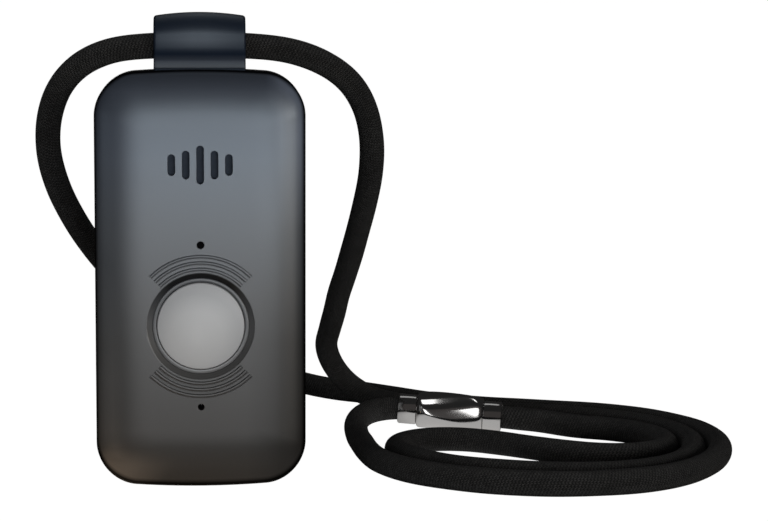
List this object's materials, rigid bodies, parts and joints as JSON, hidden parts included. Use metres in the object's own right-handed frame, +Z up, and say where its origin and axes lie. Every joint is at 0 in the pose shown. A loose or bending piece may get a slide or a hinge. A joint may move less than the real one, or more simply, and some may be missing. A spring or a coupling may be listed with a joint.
{
  "type": "medical alert pendant",
  "caption": "Hand-sized moulded alarm pendant with a large call button and sound slots, on a round knitted neck lanyard with a magnetic breakaway clasp.",
  "frame": {"origin": "middle of the foot of the standing pendant, without the lanyard and clasp", "axes": "+X to the right seen from the front, +Y from the front face to the back, +Z up towards the bail"},
  "size_m": [0.1461, 0.1219, 0.095],
  "materials": {
    "front_plastic": "satin",
    "rear_plastic": "fine matt",
    "seal_rubber": "matt",
    "screw_steel": "bright",
    "bail_plastic": "satin",
    "button_plastic": "satin",
    "bezel_plastic": "satin",
    "inner_plastic": "moulded",
    "plunger_plastic": "moulded",
    "board": "solder mask",
    "shield_metal": "tinned",
    "ceramic": "fired",
    "copper": "film",
    "cone_film": "film",
    "mesh_cloth": "woven",
    "lamp_plastic": "clear",
    "smoked_plastic": "smoked",
    "battery_film": "pouch",
    "gold_plate": "plated",
    "clasp_steel": "polished",
    "magnet": "plated",
    "lanyard_knit": "fine knit"
  },
  "bodies": {
    "pendant": {"front_shell": "front_plastic", "rear_shell": "rear_plastic", "shell_gasket": "seal_rubber", "shell_screws": "screw_steel", "lanyard_bail": "bail_plastic", "bail_screws": "screw_steel", "button_bezel": "bezel_plastic", "button_seal": "seal_rubber", "switch_body": "inner_plastic", "main_board": "board", "board_screws": "screw_steel", "radio_module": "shield_metal", "satellite_antenna": "ceramic", "radio_antenna": "copper", "speaker_frame": "inner_plastic", "speaker_cone": "cone_film", "speaker_gasket": "seal_rubber", "speaker_mesh": "mesh_cloth", "microphone": "shield_metal", "microphone_boot": "seal_rubber", "status_lamp": "lamp_plastic", "light_pipe": "smoked_plastic", "vibration_motor": "shield_metal", "battery": "battery_film", "battery_pad": "seal_rubber", "charge_contacts": "gold_plate", "contact_seals": "seal_rubber", "clasp_socket": "clasp_steel", "socket_magnet": "magnet", "lanyard_left_leg": "lanyard_knit", "lanyard_outer_loop": "lanyard_knit", "lanyard_right_leg": "lanyard_knit", "lanyard_inner_loops": "lanyard_knit"},
    "call_button": {"button_cap": "button_plastic"},
    "switch_pin": {"switch_plunger": "plunger_plastic"},
    "clasp_end": {"clasp_plug": "clasp_steel", "plug_magnet": "magnet", "lanyard_tail": "lanyard_knit"}
  },
  "joints": [
    {"name": "button_press", "type": "slide", "parent": "pendant", "child": "call_button", "axis": [0, 1, 0], "range_m": [0, 0.0007], "stiffness_N_per_m": 3000, "deforming": ["button_seal"]},
    {"name": "switch_press", "type": "slide", "parent": "pendant", "child": "switch_pin", "axis": [0, 1, 0], "range_m": [0, 0.0007], "deforming": ["button_seal"]},
    {"name": "clasp_release", "type": "slide", "parent": "pendant", "child": "clasp_end", "axis": [-0.9852, 0.156, 0.0705], "range_m": [0, 0.006]}
  ],
  "couplings": [
    {"joint": "switch_press", "follows": "button_press", "ratio": 1}
  ]
}
